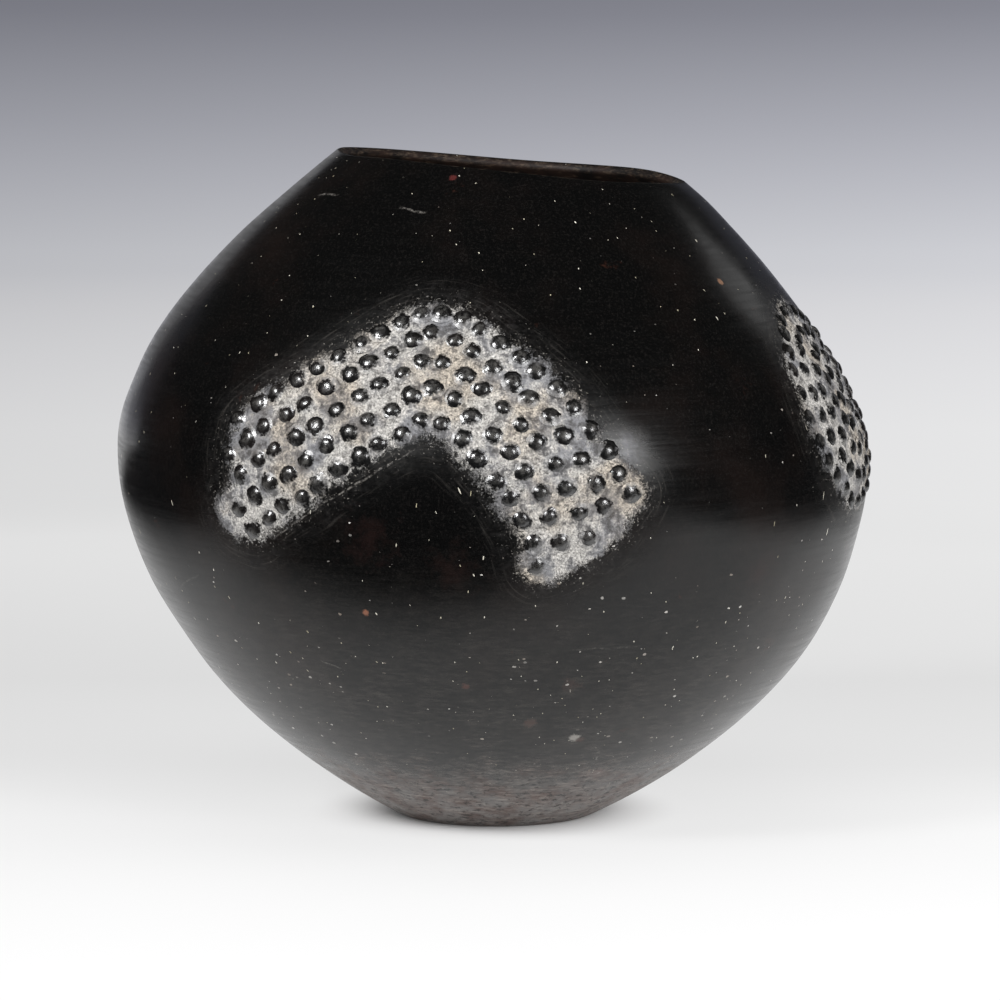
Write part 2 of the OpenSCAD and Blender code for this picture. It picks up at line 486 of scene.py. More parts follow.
# %% [markdown]
# ## Burnished, smoke-fired clay
# Low-fired earthenware, rubbed with a pebble and blackened by smoke, is almost black with
# faint brown clouds, a few rust-brown spots and a fine grain. The rubbing leaves level strokes
# that soften its gloss. The pattern sizes are those of the pot: clouds as wide as a hand,
# strokes as wide as the pebble's edge.

# %% Burnished, smoke-fired clay
# Clouds, rust spots and grain: width, detail and roughness of a noise, where its cover starts
# and is full, the most it covers, its edge and its shade
CLAY_COVERS = [
    (70, 6, 0.62, 0.45, 0.75, 1.0, SOFT, "#150f0d"),
    (16, 5, 0.7, 0.66, 0.76, 0.6, SOFT, "#3c2219"),
    (1.1, 3, 0.75, 0.52, 0.78, 0.55, PLAIN, "#282523"),
]


def with_covers(tree, place, colour, covers):
    """A colour under noisy covers, and how fully each of them lies on it."""
    laid = []
    for width, detail, rough, start, full, most, edge, shade in covers:
        look = {"Vector": place, "Scale": per_metre(width), "Detail": detail, "Roughness": rough}
        pattern = add(tree, "TexNoise", look)[0]
        spread = {0: pattern, 1: start, 2: full, 4: most}
        laid.append(add(tree, "MapRange", spread, interpolation_type=edge)[0])
        shades = {FACTOR: laid[-1], FIRST: colour, SECOND: paint(shade)}
        colour = add(tree, "Mix", shades, data_type="RGBA")[MIXED]
    return colour, laid


def level_strokes(tree, place, length, width, detail, rough):
    """Noise drawn out along the level, as rubbing leaves it."""
    stretch = (per_metre(length), per_metre(length), per_metre(width))
    long_place = add(tree, "Mapping", {"Vector": place, "Scale": stretch})[0]
    look = {"Vector": long_place, "Scale": 1, "Detail": detail, "Roughness": rough}
    return add(tree, "TexNoise", look)[0]


def smoked_clay(tree, place):
    """Colour, roughness and height in millimetres of the burnished clay."""
    colour, _ = with_covers(tree, place, paint("#060606"), CLAY_COVERS)
    strokes = level_strokes(tree, place, length=40, width=1.8, detail=4, rough=0.6)
    roughness = add(tree, "MapRange", {0: strokes, 1: 0.3, 2: 0.7, 3: 0.17, 4: 0.27})[0]
    rubs = add(tree, "TexNoise", {"Vector": place, "Scale": per_metre(13), "Detail": 2})[0]
    rubs_mm = add(tree, "Math", {0: rubs, 1: 0.08}, operation="MULTIPLY")[0]
    height = add(tree, "Math", {0: strokes, 1: 0.014, 2: rubs_mm}, operation="MULTIPLY_ADD")[0]
    return colour, roughness, height


def finish_surface(tree, colour, roughness, height, gloss):
    """The last nodes of a clay finish: bump, gloss (as an index of refraction) and output."""
    bumped = add(tree, "Bump", {"Height": height, "Distance": MM, "Strength": 1.0})[0]
    look = {"Base Color": colour, "Roughness": roughness, "Normal": bumped, "IOR": gloss}
    clay = add(tree, "BsdfPrincipled", look)[0]
    add(tree, "OutputMaterial", {"Surface": clay})


print("the clay is made of clouds, rust spots, grain, strokes and rubs")

# %% [markdown]
# ## Grains and straw marks
# Grains of quartz and ochre show in the black wall as pale specks, and bits of straw left
# short pale dashes. A Voronoi cell holds one grain each, drawn up to a millimetre high so
# that it shows; most are smaller, and the shoulder has fewer and dimmer ones. Noise nudges
# the place a little, so that no grain is round. Stretched cells make the dashes. Both lie in
# patches, as clay mixed by hand has them.

# %% Grains and straw marks
GRAIN_CELL, GRAIN_SIZE, GRAIN_NUDGE = 3.0, 0.18, 0.9
# Heights between which the grains get fewer, and between which they get dimmer
FEWER_FROM, FEWER_TO, DIMMER_FROM, DIMMER_TO = 120, 240, 170, 250
STRAW_CELL, STRAW_LENGTH, STRAW_SIZE = 3.6, 34, 0.075
# The two ways the straw leans, in radians about each axis
STRAW_LEANS = [(0.2, 0.4, 0), (0.1, -0.12, 0)]


def with_grains(tree, place, colour):
    """The clay's colour with its pale specks."""
    uneven = add(tree, "TexNoise", {"Vector": place, "Scale": per_metre(1.2), "Detail": 1})["Color"]
    nudge = Vector((GRAIN_NUDGE, GRAIN_NUDGE, GRAIN_NUDGE)) * MM
    nudged = add(tree, "VectorMath", {0: uneven, 1: nudge, 2: place}, operation="MULTIPLY_ADD")[0]
    flat = (per_metre(1.5 * GRAIN_CELL), per_metre(1.5 * GRAIN_CELL), per_metre(GRAIN_CELL))
    grain_place = add(tree, "Mapping", {"Vector": nudged, "Scale": flat})[0]
    cells = add(tree, "TexVoronoi", {"Vector": grain_place, "Scale": 1})
    kind = add(tree, "SeparateColor", {0: cells["Color"]})
    patches = add(tree, "TexNoise", {"Vector": place, "Scale": per_metre(55), "Detail": 2})[0]
    up = add(tree, "SeparateXYZ", {0: place})[2]
    fewer = add(tree, "MapRange", {0: up, 1: FEWER_FROM * MM, 2: FEWER_TO * MM, 3: 0.14, 4: -0.04})[0]
    often = add(tree, "Math", {0: patches, 1: fewer}, operation="ADD")[0]
    often = add(tree, "Math", {0: often, 1: kind[0]}, operation="MULTIPLY")[0]
    share = add(tree, "MapRange", {0: often, 1: 0.35, 2: 0.64})[0]
    share = add(tree, "Math", {0: share, 1: 1.4}, operation="POWER")[0]
    size = add(tree, "Math", {0: share, 1: GRAIN_SIZE}, operation="MULTIPLY")[0]
    grain = add(tree, "Math", {0: cells["Distance"], 1: size}, operation="LESS_THAN")[0]
    pale = {FACTOR: kind[1], FIRST: paint("#e2dfd9"), SECOND: paint("#8c8075")}
    grain_colour = add(tree, "Mix", pale, data_type="RGBA")[MIXED]
    faint = add(tree, "MapRange", {0: kind[2], 3: 0.1, 4: 0.9})[0]
    dimmer = add(tree, "MapRange", {0: up, 1: DIMMER_FROM * MM, 2: DIMMER_TO * MM, 3: 1.0, 4: 0.45})[0]
    faint = add(tree, "Math", {0: faint, 1: dimmer}, operation="MULTIPLY")[0]
    grain = add(tree, "Math", {0: grain, 1: faint}, operation="MULTIPLY")[0]
    shades = {FACTOR: grain, FIRST: colour, SECOND: grain_colour}
    return add(tree, "Mix", shades, data_type="RGBA")[MIXED]


def with_straw_marks(tree, place, colour, lean):
    """The clay's colour with short dashes that lean one way, in some patches more than in others."""
    stretch = (per_metre(STRAW_CELL), per_metre(STRAW_CELL), per_metre(STRAW_LENGTH))
    slanted = add(tree, "Mapping", {"Vector": place, "Rotation": lean})[0]
    long_place = add(tree, "Mapping", {"Vector": slanted, "Scale": stretch})[0]
    cells = add(tree, "TexVoronoi", {"Vector": long_place, "Scale": 1})
    kind = add(tree, "SeparateColor", {0: cells["Color"]})
    patches = add(tree, "TexNoise", {"Vector": place, "Scale": per_metre(90), "Detail": 1})[0]
    often = add(tree, "Math", {0: kind[0], 1: patches}, operation="MULTIPLY")[0]
    size = add(tree, "MapRange", {0: often, 1: 0.16, 2: 0.44, 3: 0.0, 4: STRAW_SIZE})[0]
    dash = add(tree, "Math", {0: cells["Distance"], 1: size}, operation="LESS_THAN")[0]
    pale = {FACTOR: kind[1], FIRST: paint("#d8d4c8"), SECOND: paint("#9d957c")}
    straw = add(tree, "Mix", pale, data_type="RGBA")[MIXED]
    shades = {FACTOR: dash, FIRST: colour, SECOND: straw}
    return add(tree, "Mix", shades, data_type="RGBA")[MIXED]


print("a grain is at most", round(2 * GRAIN_SIZE * GRAIN_CELL, 1), "mm high")

# %% [markdown]
# ## Strokes and dust round the motifs
# The pebble went round each motif, so near it the strokes are noise along the distance from
# the motif. It couldn't reach quite up to the pellets: there the wall is duller, and dust of
# the ash lies on it, smeared and in fine grains, thinner with the distance.

# %% Strokes and dust round the motifs
STROKE_WIDTH, STROKE_LENGTH = 1.1, 15
DUST_GRAIN, DUST_SMEAR = 0.9, 3
# Distances from the motif where each is full, and where it has died away
STROKES_FULL, STROKES_END, DUST_FULL, SMEARS_END, GRAINS_END = 8, 22, 5, 20, 22


def with_round_strokes(tree, place, past, colour, roughness):
    """Colour and roughness with the fine strokes that follow each motif's edge."""
    parts = add(tree, "SeparateXYZ", {0: place})
    along = per_metre(STROKE_LENGTH)
    ways = [add(tree, "Math", {0: parts[k], 1: along}, operation="MULTIPLY")[0] for k in (0, 2)]
    lines = add(tree, "Math", {0: past, 1: 1 / STROKE_WIDTH}, operation="MULTIPLY")[0]
    stroke_place = add(tree, "CombineXYZ", {0: lines, 1: ways[0], 2: ways[1]})[0]
    look = {"Vector": stroke_place, "Scale": 1, "Detail": 2, "Roughness": 0.6}
    strokes = add(tree, "TexNoise", look)[0]
    near = add(tree, "MapRange", {0: past, 1: STROKES_END, 2: STROKES_FULL}, interpolation_type=SOFT)[0]
    pale = add(tree, "MapRange", {0: strokes, 1: 0.57, 2: 0.78, 4: 0.32})[0]
    scratch = add(tree, "Math", {0: pale, 1: near}, operation="MULTIPLY")[0]
    shades = {FACTOR: scratch, FIRST: colour, SECOND: paint("#5c5853")}
    colour = add(tree, "Mix", shades, data_type="RGBA")[MIXED]
    roughness = add(tree, "Math", {0: near, 1: 0.08, 2: roughness}, operation="MULTIPLY_ADD")[0]
    return colour, roughness


def with_dust(tree, place, past, colour):
    """The clay's colour with a smeared film and loose grains of ash near each motif."""
    look = {"Vector": place, "Scale": per_metre(DUST_SMEAR), "Detail": 4, "Roughness": 0.75}
    smears = add(tree, "TexNoise", look)[0]
    smeared = add(tree, "MapRange", {0: smears, 1: 0.46, 2: 0.72, 4: 0.22})[0]
    near = add(tree, "MapRange", {0: past, 1: SMEARS_END, 2: DUST_FULL}, interpolation_type=SOFT)[0]
    film = add(tree, "Math", {0: smeared, 1: near}, operation="MULTIPLY")[0]
    shades = {FACTOR: film, FIRST: colour, SECOND: paint("#494746")}
    colour = add(tree, "Mix", shades, data_type="RGBA")[MIXED]
    look = {"Vector": place, "Scale": per_metre(DUST_GRAIN), "Detail": 2, "Roughness": 0.6}
    grains = add(tree, "TexNoise", look)[0]
    least = add(tree, "MapRange", {0: past, 1: DUST_FULL, 2: GRAINS_END, 3: 0.63, 4: 0.8})[0]
    over = add(tree, "Math", {0: grains, 1: least}, operation="SUBTRACT")[0]
    dust = add(tree, "MapRange", {0: over, 1: 0.0, 2: 0.08, 4: 0.5})[0]
    shades = {FACTOR: dust, FIRST: colour, SECOND: paint("#a8a39b")}
    return add(tree, "Mix", shades, data_type="RGBA")[MIXED]


print("a stroke is about", STROKE_WIDTH, "mm wide and", STROKE_LENGTH, "mm long")

# %% [markdown]
# ## Marks and scratches of its own
# Every pot has marks that no pattern gives: a chip, rust stains where the smoke didn't reach,
# and scratches that a tool left beside the motif. One grey mark at the right end of the chevron
# is a painted sheen. Each mark is the distance from a point of the wall, made ragged by noise.
# Each scratch is a thin slab through two points of the wall.

# %% Marks of its own
# Degrees round from the front, height, width and colour; a small mark has a sharper edge
CLAY_MARKS = [
    (17, 50, 5.5, "#98948e"), (18.5, 49, 4, "#3d2a25"), (13.5, 76, 10, "#35221d"),
    (7, 58, 6, "#42302a"), (-5, 76, 3.5, "#4a2d27"), (28, 30, 12, "#65504a"),
    (-18.5, 140, 26, "#1e1210"), (-6, 128, 24, "#1c1210"), (44, 120, 20, "#1e1210"),
    # The grey mark at 19.5 degrees and 175 mm is a painted sheen, not a stain
    (19.5, 175, 17, "#4c4c51"), (-12.5, 284, 3.4, "#542523"), (51.5, 240, 3.4, "#7a5a44"),
    (-20, 108, 3, "#8a5a44"), (150, 90, 8, "#3d261f"), (-130, 70, 9, "#3a251f"),
    (-100, 190, 22, "#1e1210"), (100, 60, 5, "#a09b94"),
]
SMALL_MARK = 8


def with_marks(tree, place, colour):
    """The clay's colour with its stains and chips, and one painted sheen."""
    look = {"Vector": place, "Detail": 5, "Roughness": 0.8}
    finely = add(tree, "TexNoise", {**look, "Scale": per_metre(2.2)})[0]
    broadly = add(tree, "TexNoise", {**look, "Scale": per_metre(8)})[0]
    for turn, height, width, shade in CLAY_MARKS:
        middle, reach = on_wall(turn, height), width * MM
        # The noise on its edge, how deep that bites, and where the mark is gone, in its own widths
        ragged, depth, gone = (finely, 1.2, 1.15) if width < SMALL_MARK else (broadly, 2, 1.5)
        away = add(tree, "VectorMath", {0: place, 1: middle}, operation="DISTANCE")["Value"]
        edge = add(tree, "Math", {0: ragged, 1: depth * reach, 2: away}, operation="MULTIPLY_ADD")[0]
        mark = add(tree, "MapRange", {0: edge, 1: gone * reach, 2: 0.9 * reach, 4: 0.85})[0]
        shades = {FACTOR: mark, FIRST: colour, SECOND: paint(shade)}
        colour = add(tree, "Mix", shades, data_type="RGBA")[MIXED]
    return colour


print("marks:", len(CLAY_MARKS))

# %% Scratches of its own
# Degrees round and height of both ends, and how pale the scratch is
SCRATCHES = [
    (-35, 136, -10.8, 178, 0.4), (-42.5, 165, -33, 191, 0.4), (-25, 272, -17, 270, 0.5),
    (-56, 276, -47, 276, 0.35), (-31, 85, -26, 80, 0.2), (11.8, 92, 24.5, 93, 0.12),
    (-60, 110, -52, 118, 0.15), (140, 150, 158, 170, 0.3),
]
SCRATCH_HALF, SCRATCH_CORE, SCRATCH_WOBBLE, SCRATCH_REACH = 0.5, 0.1, 3.2, 30


def with_scratches(tree, place, colour):
    """The clay's colour with its scratches, and how far each point is scratched."""
    look = {"Vector": place, "Scale": per_metre(12), "Detail": 3, "Roughness": 0.6}
    wobble = add(tree, "TexNoise", look)[0]
    look = {"Vector": place, "Scale": per_metre(2), "Detail": 3, "Roughness": 0.7}
    skips = add(tree, "TexNoise", look)[0]
    kept = add(tree, "MapRange", {0: skips, 1: 0.42, 2: 0.62})[0]
    scratched = 0.0
    for turn, height, end_turn, end_height, pale in SCRATCHES:
        first, last = on_wall(turn, height), on_wall(end_turn, end_height)
        middle, along = (first + last) / 2, (last - first).normalized()
        out = Vector((middle.x, middle.y, 0)).normalized()
        side = along.cross(out).normalized()
        from_middle = add(tree, "VectorMath", {0: place, 1: middle}, operation="SUBTRACT")[0]
        ways = [
            add(tree, "VectorMath", {0: from_middle, 1: way}, operation="DOT_PRODUCT")["Value"]
            for way in (along, side, out)
        ]
        moved = {0: wobble, 1: SCRATCH_WOBBLE * MM, 2: ways[1]}
        bent = add(tree, "Math", moved, operation="MULTIPLY_ADD")[0]
        centred = add(tree, "Math", {0: bent, 1: SCRATCH_WOBBLE * MM / 2}, operation="SUBTRACT")[0]
        aside = add(tree, "Math", {0: centred}, operation="ABSOLUTE")[0]
        thin = add(tree, "MapRange", {0: aside, 1: SCRATCH_HALF * MM, 2: SCRATCH_CORE * MM, 4: pale})[0]
        gone = add(tree, "Math", {0: ways[0]}, operation="ABSOLUTE")[0]
        half = (last - first).length / 2
        ends = add(tree, "MapRange", {0: gone, 1: half, 2: 0.7 * half})[0]
        front = add(tree, "Math", {0: ways[2], 1: -SCRATCH_REACH * MM}, operation="GREATER_THAN")[0]
        ends = add(tree, "Math", {0: ends, 1: front}, operation="MULTIPLY")[0]
        line = add(tree, "Math", {0: thin, 1: ends}, operation="MULTIPLY")[0]
        scratched = add(tree, "Math", {0: line, 1: scratched}, operation="MAXIMUM")[0]
    scratched = add(tree, "Math", {0: scratched, 1: kept}, operation="MULTIPLY")[0]
    shades = {FACTOR: scratched, FIRST: colour, SECOND: paint("#a39e97")}
    return add(tree, "Mix", shades, data_type="RGBA")[MIXED], scratched


print("scratches:", len(SCRATCHES))

# %% [markdown]
# ## Ash
# The film between the pellets is ash mixed with fine clay: pale grains with dark clay
# showing between them, smoother grey patches where a finger rubbed it, darker smudges, and
# a warmer tint here and there. It is matte, so it hides the gloss under it. The wall and the
# pellets' feet share it, on the same coordinates, and that hides where one meets the other.

# %% Ash
ASH_DARK, ASH_PALE = "#494745", "#e9e5df"
# Grains, rubbed patches and smudges, given as the clay's covers are
ASH_COVERS = [
    (0.9, 4, 0.85, 0.34, 0.62, 1.0, PLAIN, ASH_PALE),
    (20, 5, 0.72, 0.46, 0.58, 0.85, SOFT, "#828388"),
    (5, 4, 0.75, 0.47, 0.66, 0.8, SOFT, "#403d3b"),
]
# Noises on the ash's edge, with the width and depth of each, and what the grain adds to them
ASH_RAGGED, ASH_GRAINED = [(18, 2.2), (5, 3.0)], 0.6
ASH_THIN, ASH_FULL = 4.05, 4.75


def ash_film(tree, place):
    """Colour, roughness and grain of the ash."""
    colour, (grainy, rubbed, _) = with_covers(tree, place, paint(ASH_DARK), ASH_COVERS)
    tints = add(tree, "TexNoise", {"Vector": place, "Scale": per_metre(30), "Detail": 3})[0]
    warm = add(tree, "MapRange", {0: tints, 1: 0.44, 2: 0.62, 4: 0.7}, interpolation_type=SOFT)[0]
    shades = {FACTOR: warm, FIRST: colour, SECOND: paint("#f3e6d4")}
    colour = add(tree, "Mix", shades, data_type="RGBA", blend_type="MULTIPLY")[MIXED]
    roughness = add(tree, "MapRange", {0: rubbed, 1: 0.0, 2: 0.85, 3: 0.7, 4: 0.4})[0]
    return colour, roughness, grainy


def ash_cover(tree, place, grain):
    """How fully the ash covers the clay: the hills round the pellets, with a ragged edge."""
    edge = add(tree, "Attribute", attribute_name="ash")["Fac"]
    for size, depth in ASH_RAGGED:
        look = {"Vector": place, "Scale": per_metre(size), "Detail": 5, "Roughness": 0.75}
        ragged = add(tree, "TexNoise", look)[0]
        edge = add(tree, "Math", {0: ragged, 1: depth, 2: edge}, operation="MULTIPLY_ADD")[0]
    edge = add(tree, "Math", {0: grain, 1: ASH_GRAINED, 2: edge}, operation="MULTIPLY_ADD")[0]
    return add(tree, "MapRange", {0: edge, 1: ASH_THIN, 2: ASH_FULL}, interpolation_type=SOFT)[0]


print("ash from", round(paint(ASH_DARK)[0], 3), "to", round(paint(ASH_PALE)[0], 3), "in linear light")

# %% [markdown]
# ## The wall's finish
# The wall's material lays these over each other from the bottom up: burnished clay, marks,
# strokes, grains and dust, ash with a ragged edge, and scratches. Each cover is a number from
# nought to one that mixes colour and roughness alike.

# %% The wall's clay and ash
# Relief in millimetres
ASH_DEEP, SCRATCH_DEEP = 0.2, 0.15
wall_clay, tree = new_finish("smoke_fired_burnished_clay")
place = add(tree, "TexCoord")["Object"]
past_motif = add(tree, "Attribute", attribute_name="past_motif")["Fac"]
colour, roughness, height = smoked_clay(tree, place)
colour = with_marks(tree, place, colour)
colour, roughness = with_round_strokes(tree, place, past_motif, colour, roughness)
for lean in STRAW_LEANS:
    colour = with_straw_marks(tree, place, colour, lean)
colour = with_grains(tree, place, colour)
colour = with_dust(tree, place, past_motif, colour)

ash_colour, ash_roughness, ash_grain = ash_film(tree, place)
ashy = ash_cover(tree, place, ash_grain)
colour = add(tree, "Mix", {FACTOR: ashy, FIRST: colour, SECOND: ash_colour}, data_type="RGBA")[MIXED]
roughness = add(tree, "Mix", {0: ashy, 2: roughness, 3: ash_roughness}, data_type="FLOAT")[0]
ash_mm = add(tree, "Math", {0: ashy, 1: ash_grain}, operation="MULTIPLY")[0]
height = add(tree, "Math", {0: ash_mm, 1: ASH_DEEP, 2: height}, operation="MULTIPLY_ADD")[0]
colour, scratched = with_scratches(tree, place, colour)
height = add(tree, "Math", {0: scratched, 1: -SCRATCH_DEEP, 2: height}, operation="MULTIPLY_ADD")[0]
print(wall_clay.name, "has", len(tree.nodes), "nodes with its ash")

# %% [markdown]
# ## The scuffed foot
# Standing on earth floors wore the foot grey and brown, flaked its black skin off and left a
# haze of level scuffs up the wall. Wear painted on the mesh would end in a clean line; noise
# drawn out along the level makes the scuffs, and moves the edge of the wear too.

# %% The scuffed foot
# Heights where the haze and the wear end, where they are full, and how far noise moves the wear
HAZE_END, HAZE_FULL, WEAR_END, WEAR_FULL, WEAR_RAGGED = 150, 30, 12, -20, 30
FLAKE_DEEP = 0.12
level_z = add(tree, "SeparateXYZ", {0: place})[2]
scuffs = level_strokes(tree, place, length=7, width=1.3, detail=5, rough=0.75)
haze_range = {0: level_z, 1: HAZE_END * MM, 2: HAZE_FULL * MM}
low = add(tree, "MapRange", haze_range, interpolation_type=SOFT)[0]
scraped = add(tree, "MapRange", {0: scuffs, 1: 0.4, 2: 0.72, 4: 0.85})[0]
look = {"Vector": place, "Scale": per_metre(13), "Detail": 4, "Roughness": 0.65}
browned = add(tree, "TexNoise", look)[0]
mottled = add(tree, "MapRange", {0: browned, 1: 0.34, 2: 0.66, 3: 0.3, 4: 1.15})[0]
scraped = add(tree, "Math", {0: scraped, 1: mottled}, operation="MULTIPLY")[0]
hazy = add(tree, "Math", {0: low, 1: scraped}, operation="MULTIPLY")[0]
shades = {FACTOR: hazy, FIRST: colour, SECOND: paint("#413d39")}
colour = add(tree, "Mix", shades, data_type="RGBA")[MIXED]

wear_level = level_z
for ragged in (scuffs, browned):
    moved = {0: ragged, 1: -WEAR_RAGGED * MM, 2: wear_level}
    wear_level = add(tree, "Math", moved, operation="MULTIPLY_ADD")[0]
wear_range = {0: wear_level, 1: WEAR_END * MM, 2: WEAR_FULL * MM, 4: 0.9}
worn = add(tree, "MapRange", wear_range, interpolation_type=SOFT)[0]
brown = add(tree, "MapRange", {0: browned, 1: 0.4, 2: 0.62})[0]
streaks = add(tree, "MapRange", {0: scuffs, 1: 0.5, 2: 0.7, 4: 0.65})[0]
flakes = level_strokes(tree, place, length=3.6, width=1.4, detail=4, rough=0.7)
flaked = add(tree, "MapRange", {0: flakes, 1: 0.54, 2: 0.63, 4: 0.95})[0]
foot_colour = paint("#7a7673")
for cover, shade in ((brown, "#5b4a44"), (streaks, "#a39b93"), (flaked, "#1e1a18")):
    shades = {FACTOR: cover, FIRST: foot_colour, SECOND: paint(shade)}
    foot_colour = add(tree, "Mix", shades, data_type="RGBA")[MIXED]
colour = add(tree, "Mix", {FACTOR: worn, FIRST: colour, SECOND: foot_colour}, data_type="RGBA")[MIXED]
roughness = add(tree, "Mix", {0: worn, 2: roughness, 3: 0.5}, data_type="FLOAT")[0]
worn_off = add(tree, "Math", {0: worn, 1: flaked}, operation="MULTIPLY")[0]
height = add(tree, "Math", {0: worn_off, 1: -FLAKE_DEEP, 2: height}, operation="MULTIPLY_ADD")[0]
print(wall_clay.name, "has", len(tree.nodes), "nodes with its foot")

# %% [markdown]
# ## The lip and the inside
# Hands and ladles chafe the lip. The inside was never burnished, so it is matte, smoked black
# near the mouth and browner deep down. A second material would leave a sharp line round the
# lip; instead the wall's own one reads from the mesh how far over the lip each point lies.

# %% The lip and the inside
# Heights between which the clay inside turns paler, and the wall's index of refraction
INSIDE_DARK, INSIDE_PALE, WALL_GLOSS = 240, 80, 1.45
inside = add(tree, "Attribute", attribute_name="inside")["Fac"]
lip_way = add(tree, "Math", {0: inside, 1: 2.0, 2: -1.0}, operation="MULTIPLY_ADD")[0]
lip_away = add(tree, "Math", {0: lip_way}, operation="ABSOLUTE")[0]
lip_top = add(tree, "MapRange", {0: lip_away, 1: 1.0, 2: 0.5})[0]
chafed = add(tree, "MapRange", {0: flakes, 1: 0.5, 2: 0.68, 4: 0.6})[0]
lip_worn = add(tree, "Math", {0: lip_top, 1: chafed}, operation="MULTIPLY")[0]
inner = add(tree, "MapRange", {0: inside, 1: 0.2, 2: 0.6}, interpolation_type=SOFT)[0]
rubbed_off = add(tree, "MapRange", {0: scuffs, 1: 0.56, 2: 0.7, 4: 0.6})[0]
deep_range = {0: level_z, 1: INSIDE_DARK * MM, 2: INSIDE_PALE * MM, 4: 0.8}
deep = add(tree, "MapRange", deep_range, interpolation_type=SOFT)[0]
inner_colour = paint("#100c0b")
for cover, shade in ((brown, "#291b15"), (rubbed_off, "#6e5b49"), (deep, "#5a4636")):
    shades = {FACTOR: cover, FIRST: inner_colour, SECOND: paint(shade)}
    inner_colour = add(tree, "Mix", shades, data_type="RGBA")[MIXED]
colour = add(tree, "Mix", {FACTOR: inner, FIRST: colour, SECOND: inner_colour}, data_type="RGBA")[MIXED]
shades = {FACTOR: lip_worn, FIRST: colour, SECOND: paint("#5f5143")}
colour = add(tree, "Mix", shades, data_type="RGBA")[MIXED]
unrubbed = add(tree, "Math", {0: inner, 1: lip_top}, operation="MAXIMUM")[0]
roughness = add(tree, "Mix", {0: unrubbed, 2: roughness, 3: 0.6}, data_type="FLOAT")[0]
finish_surface(tree, colour, roughness, height, WALL_GLOSS)
wall.data.materials.append(wall_clay)
print(wall_clay.name, "has", len(tree.nodes), "nodes in all")

# %% [markdown]
# ## The pellets' finish
# Hands and cloths polish the pellets, so they are glossier than the wall, and rub a thin film
# of ash over them. The grey on the middle of each pellet's top is partly that film and partly
# a painted sheen. Thicker ash lies round their feet and climbs their sides, in grains. How far
# up it comes is broken by two noises, a fine one for a ragged line and a broad one that leaves
# one side of a pellet barer than the other. Small dents from the fingers break up their glints.

# %% The pellets' finish
# Roughness, index of refraction, and depth of the fingers' dents
PELLET_ROUGHNESS, PELLET_GLOSS, FINGER_DEEP = 0.25, 2.0, 0.24
pellet_clay, tree = new_finish("polished_pellet_clay")
place = add(tree, "TexCoord")["Object"]
colour, _, height = smoked_clay(tree, place)
look = {"Vector": place, "Scale": per_metre(2.4), "Detail": 3, "Roughness": 0.7}
film = add(tree, "TexNoise", look)[0]
ash_film_and_painted_sheen = add(tree, "MapRange", {0: film, 1: 0.4, 2: 0.68, 3: 0.0, 4: 0.4})[0]
middle = add(tree, "Attribute", attribute_name="middle")["Fac"]
# Painted sheen, partly a film of ash: the grey is laid on the middle of each pellet's top only
painted_sheen_on_tops = add(tree, "MapRange", {0: middle, 1: 0.42, 2: 0.78}, interpolation_type=SOFT)[0]
ash_film_and_painted_sheen = add(tree, "Math", {0: ash_film_and_painted_sheen, 1: painted_sheen_on_tops}, operation="MULTIPLY")[0]
shades = {FACTOR: ash_film_and_painted_sheen, FIRST: colour, SECOND: paint("#7a7874")}
colour = add(tree, "Mix", shades, data_type="RGBA")[MIXED]
look = {"Vector": place, "Scale": per_metre(1.0), "Detail": 3, "Roughness": 0.75}
ragged = add(tree, "TexNoise", look)[0]
climbs = add(tree, "TexNoise", {"Vector": place, "Scale": per_metre(5), "Detail": 2})[0]
bared = add(tree, "Math", {0: ragged, 1: 0.9, 2: middle}, operation="MULTIPLY_ADD")[0]
bared = add(tree, "Math", {0: climbs, 1: -1.5, 2: bared}, operation="MULTIPLY_ADD")[0]
height = add(tree, "Math", {0: film, 1: FINGER_DEEP, 2: height}, operation="MULTIPLY_ADD")[0]
ashy = add(tree, "MapRange", {0: bared, 1: 0.04, 2: -0.24})[0]
ash_colour, ash_roughness, ash_grain = ash_film(tree, place)
covered = ash_cover(tree, place, ash_grain)
ashy = add(tree, "Math", {0: ashy, 1: covered}, operation="MULTIPLY")[0]
colour = add(tree, "Mix", {FACTOR: ashy, FIRST: colour, SECOND: ash_colour}, data_type="RGBA")[MIXED]
roughness = add(tree, "Mix", {0: ashy, 2: PELLET_ROUGHNESS, 3: ash_roughness}, data_type="FLOAT")[0]
finish_surface(tree, colour, roughness, height, PELLET_GLOSS)
for piece in pellet_pieces:
    piece.data.materials.append(pellet_clay)
print(pellet_clay.name, "has", len(tree.nodes), "nodes")

# %% [markdown]
# ## The stage
# The pot stands on pale paper that runs back into a softly graded backdrop. The sweep goes
# all round, so that no side shows its edge.

# %% The stage
STAGE_R, STAGE_TOP = 4.0, 1.6
stage_mesh = bmesh.new()
bmesh.ops.create_circle(stage_mesh, cap_ends=True, radius=STAGE_R, segments=128)
rim_edges = [edge for edge in stage_mesh.edges if edge.is_boundary]
grown = bmesh.ops.extrude_edge_only(stage_mesh, edges=rim_edges)["geom"]
wall_tops = [part for part in grown if isinstance(part, bmesh.types.BMVert)]
bmesh.ops.translate(stage_mesh, verts=wall_tops, vec=(0, 0, STAGE_TOP))
stage_data = bpy.data.meshes.new("studio_sweep")
stage_mesh.to_mesh(stage_data)
stage_mesh.free()
sweep = bpy.data.objects.new("studio_sweep", stage_data)
scene.collection.objects.link(sweep)
print("the stage is", 2 * STAGE_R, "m across")
